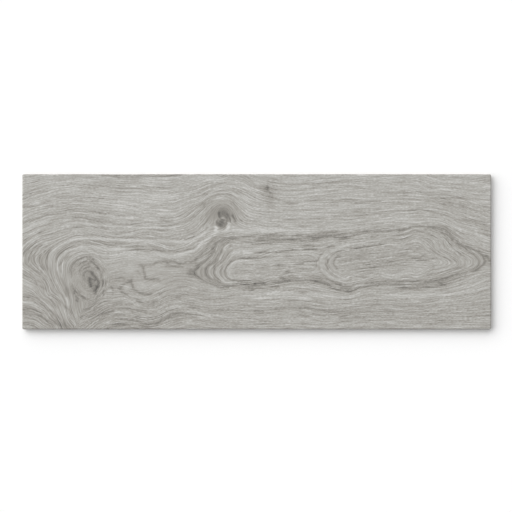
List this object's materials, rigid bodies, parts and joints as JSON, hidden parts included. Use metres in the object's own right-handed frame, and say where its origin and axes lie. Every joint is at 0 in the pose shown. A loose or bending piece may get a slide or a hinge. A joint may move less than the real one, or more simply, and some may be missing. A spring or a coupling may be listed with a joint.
{
  "type": "wood-look porcelain plank tile",
  "caption": "Flat rectangular porcelain plank tile with a rounded upper edge, a matt grey wood-look glazed face and a keyed back that beds into adhesive.",
  "frame": {"origin": "middle of the plane that the back's ribs lie in", "axes": "+X along the plank, +Y across it, +Z out of the glazed face"},
  "size_m": [0.598, 0.198, 0.009],
  "materials": {
    "glazed_porcelain": "matt wood-look glaze on the face, bare fired porcelain on the sides and back"
  },
  "bodies": {
    "root": {"plank_tile": "glazed_porcelain"}
  },
  "joints": []
}
